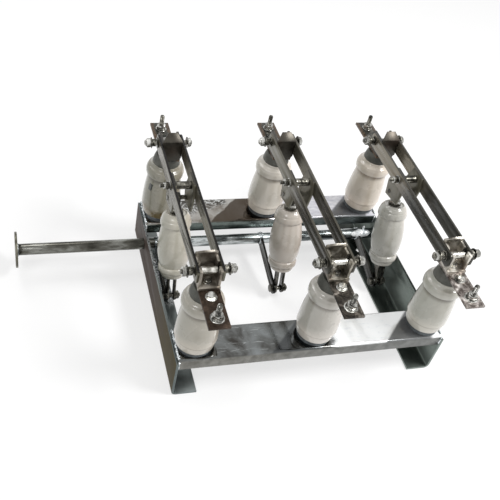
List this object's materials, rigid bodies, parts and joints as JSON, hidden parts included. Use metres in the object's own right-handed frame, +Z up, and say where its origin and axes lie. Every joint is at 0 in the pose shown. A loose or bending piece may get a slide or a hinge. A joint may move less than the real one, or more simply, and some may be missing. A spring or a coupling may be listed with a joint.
{
  "type": "knife disconnect switch",
  "caption": "Multi-pole indoor knife disconnect switch: porcelain posts on a welded steel frame carry hinged blade pairs, moved by insulated pull rods from a common operating shaft.",
  "frame": {"origin": "centre of the frame's four anchor holes, on the floor plane", "axes": "+X across the phases, away from the drive end of the shaft; +Y from the jaw side to the hinge side; +Z up"},
  "size_m": [0.87, 0.586, 0.3403],
  "materials": {
    "frame_steel": "zinc plated, dulled",
    "shaft_steel": "zinc plated, dulled",
    "cast_fitting": "matt grey paint",
    "porcelain": "glossy cream glaze",
    "terminal_copper": "tarnished copper",
    "contact_copper": "dark tarnished copper",
    "blade_copper": "tarnished, worn bright at the edges",
    "fastener_zinc": "bright zinc plated"
  },
  "bodies": {
    "frame": {"side_member_left": "frame_steel", "side_member_right": "frame_steel", "front_rail": "frame_steel", "rear_rail": "frame_steel", "post_bases": "cast_fitting", "post_caps": "cast_fitting", "terminals": "terminal_copper", "terminal_bolts_front": "fastener_zinc", "terminal_bolts_rear": "fastener_zinc", "post_front_a": "porcelain", "jaw_contact_a": "contact_copper", "post_front_b": "porcelain", "jaw_contact_b": "contact_copper", "post_front_c": "porcelain", "jaw_contact_c": "contact_copper", "post_rear_a": "porcelain", "hinge_contact_a": "contact_copper", "post_rear_b": "porcelain", "hinge_contact_b": "contact_copper", "post_rear_c": "porcelain", "hinge_contact_c": "contact_copper"},
    "shaft": {"operating_shaft": "shaft_steel", "shaft_flange": "shaft_steel", "cranks": "shaft_steel", "crank_pins": "fastener_zinc"},
    "blades_a": {"blade_pair_a": "blade_copper", "pull_plates_a": "blade_copper", "blade_bolts_a": "fastener_zinc"},
    "blades_b": {"blade_pair_b": "blade_copper", "pull_plates_b": "blade_copper", "blade_bolts_b": "fastener_zinc"},
    "blades_c": {"blade_pair_c": "blade_copper", "pull_plates_c": "blade_copper", "blade_bolts_c": "fastener_zinc"},
    "rod_a": {"rod_insulator_a": "porcelain", "rod_fork_a": "cast_fitting", "rod_lug_a": "cast_fitting"},
    "rod_b": {"rod_insulator_b": "porcelain", "rod_fork_b": "cast_fitting", "rod_lug_b": "cast_fitting"},
    "rod_c": {"rod_insulator_c": "porcelain", "rod_fork_c": "cast_fitting", "rod_lug_c": "cast_fitting"}
  },
  "joints": [
    {"name": "shaft_turn", "type": "hinge", "parent": "frame", "child": "shaft", "pos_m": [0, 0.136, 0.0587], "axis": [-1, 0, 0], "range_deg": [0, 52]},
    {"name": "blades_a_swing", "type": "hinge", "parent": "frame", "child": "blades_a", "pos_m": [-0.25, 0.184, 0.305], "axis": [-1, 0, 0], "range_deg": [0, 56.7]},
    {"name": "blades_b_swing", "type": "hinge", "parent": "frame", "child": "blades_b", "pos_m": [0, 0.184, 0.305], "axis": [-1, 0, 0], "range_deg": [0, 56.7]},
    {"name": "blades_c_swing", "type": "hinge", "parent": "frame", "child": "blades_c", "pos_m": [0.25, 0.184, 0.305], "axis": [-1, 0, 0], "range_deg": [0, 56.7]},
    {"name": "rod_a_swing", "type": "hinge", "parent": "blades_a", "child": "rod_a", "pos_m": [-0.25, 0.066, 0.256], "axis": [-1, 0, 0], "range_deg": [-60.7, 0]},
    {"name": "rod_b_swing", "type": "hinge", "parent": "blades_b", "child": "rod_b", "pos_m": [0, 0.066, 0.256], "axis": [-1, 0, 0], "range_deg": [-60.7, 0]},
    {"name": "rod_c_swing", "type": "hinge", "parent": "blades_c", "child": "rod_c", "pos_m": [0.25, 0.066, 0.256], "axis": [-1, 0, 0], "range_deg": [-60.7, 0]}
  ],
  "couplings": [
    {"joint": "blades_a_swing", "follows": "shaft_turn", "ratio": 1.089},
    {"joint": "blades_b_swing", "follows": "shaft_turn", "ratio": 1.089},
    {"joint": "blades_c_swing", "follows": "shaft_turn", "ratio": 1.089},
    {"joint": "rod_a_swing", "follows": "shaft_turn", "ratio": -1.1645},
    {"joint": "rod_b_swing", "follows": "shaft_turn", "ratio": -1.1645},
    {"joint": "rod_c_swing", "follows": "shaft_turn", "ratio": -1.1645}
  ]
}
